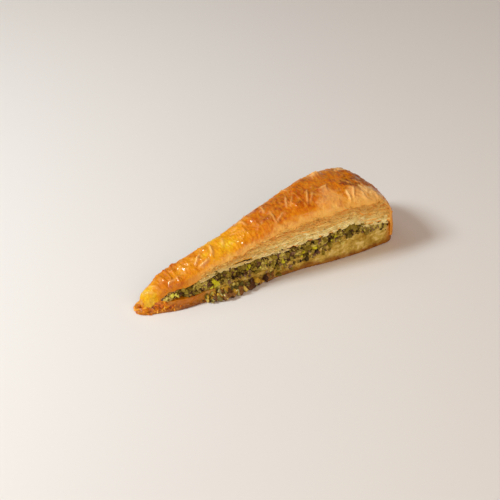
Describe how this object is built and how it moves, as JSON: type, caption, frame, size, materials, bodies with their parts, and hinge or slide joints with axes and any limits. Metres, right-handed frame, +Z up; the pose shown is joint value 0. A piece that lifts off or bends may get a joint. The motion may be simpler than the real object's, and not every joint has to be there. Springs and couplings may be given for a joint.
{
  "type": "baklava slice",
  "caption": "Long narrow wedge of layered baklava with a domed, browned, glazed crust and a chopped pistachio layer that shows at the cut sides.",
  "frame": {"origin": "middle of the slice's bounding box, on the face that it rests on", "axes": "+X from the pointed end to the wide end, +Z up, the two cut faces on the +Y and -Y sides"},
  "size_m": [0.166, 0.0448, 0.0417],
  "materials": {
    "crust": "thin crisp baked leaves, golden to orange-brown, glossy with syrup",
    "filling": "chopped pistachio, green to purple-brown, moist",
    "soaked_pastry": "soft pale yellow leaves soaked with syrup, browned underneath"
  },
  "bodies": {
    "root": {"top_pastry": "crust", "pistachio_filling": "filling", "bottom_pastry": "soaked_pastry"}
  },
  "joints": []
}
